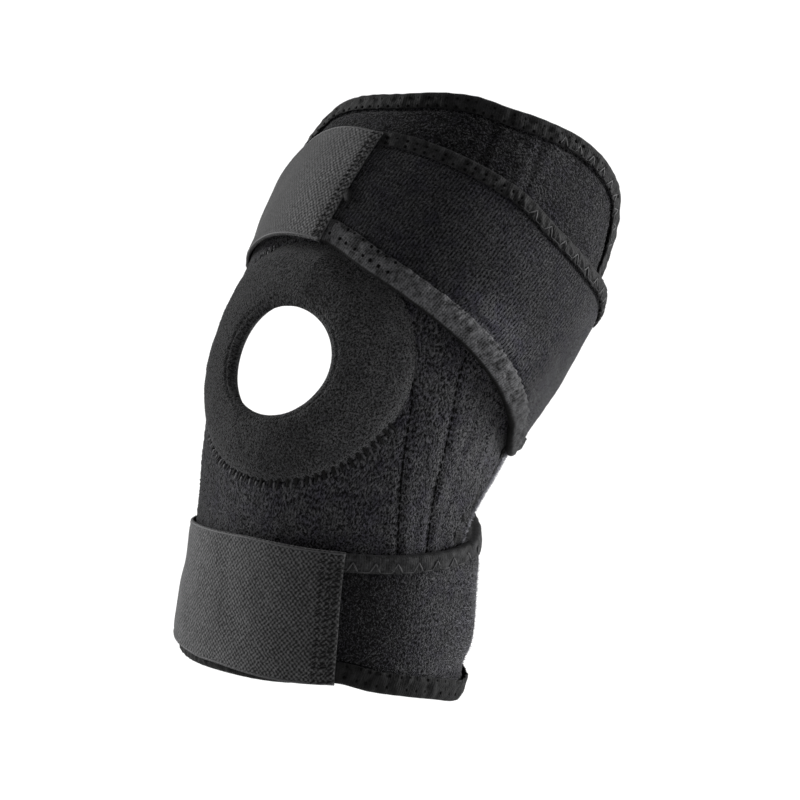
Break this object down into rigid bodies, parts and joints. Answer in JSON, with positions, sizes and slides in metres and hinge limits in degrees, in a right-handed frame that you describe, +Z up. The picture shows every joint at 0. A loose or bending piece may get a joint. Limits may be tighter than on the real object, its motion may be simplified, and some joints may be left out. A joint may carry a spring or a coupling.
{
  "type": "knee brace",
  "caption": "Black wrap-around knee brace with a padded open patella ring, a wide diagonal thigh wing, a calf strap and grey hook-tape tabs, held in its worn, bent form.",
  "frame": {"origin": "middle of the knee, on the centre line of the leg space, halfway round the bend", "axes": "+Z up along the calf's centre line, -Y the front of the knee, +X its outer side; the thigh leans back to +Y"},
  "size_m": [0.159, 0.1804, 0.2631],
  "materials": {
    "loop_pile": "charcoal brushed loop pile over foam",
    "ring_cover": "fine short pile",
    "stretch_knit": "stretch knit with a short pile",
    "binding_tape": "smooth folded elastic tape",
    "hook_tape": "grey woven back of hook tape"
  },
  "bodies": {
    "root": {"body_panel": "loop_pile", "patella_ring": "ring_cover", "body_edge_binding": "binding_tape", "body_notch_binding": "binding_tape", "upper_strap": "stretch_knit", "upper_strap_top_binding": "binding_tape", "upper_strap_low_binding": "binding_tape", "upper_hook_tab": "hook_tape", "lower_strap": "loop_pile", "lower_strap_top_binding": "binding_tape", "lower_strap_low_binding": "binding_tape", "lower_hook_tab": "hook_tape"}
  },
  "joints": []
}
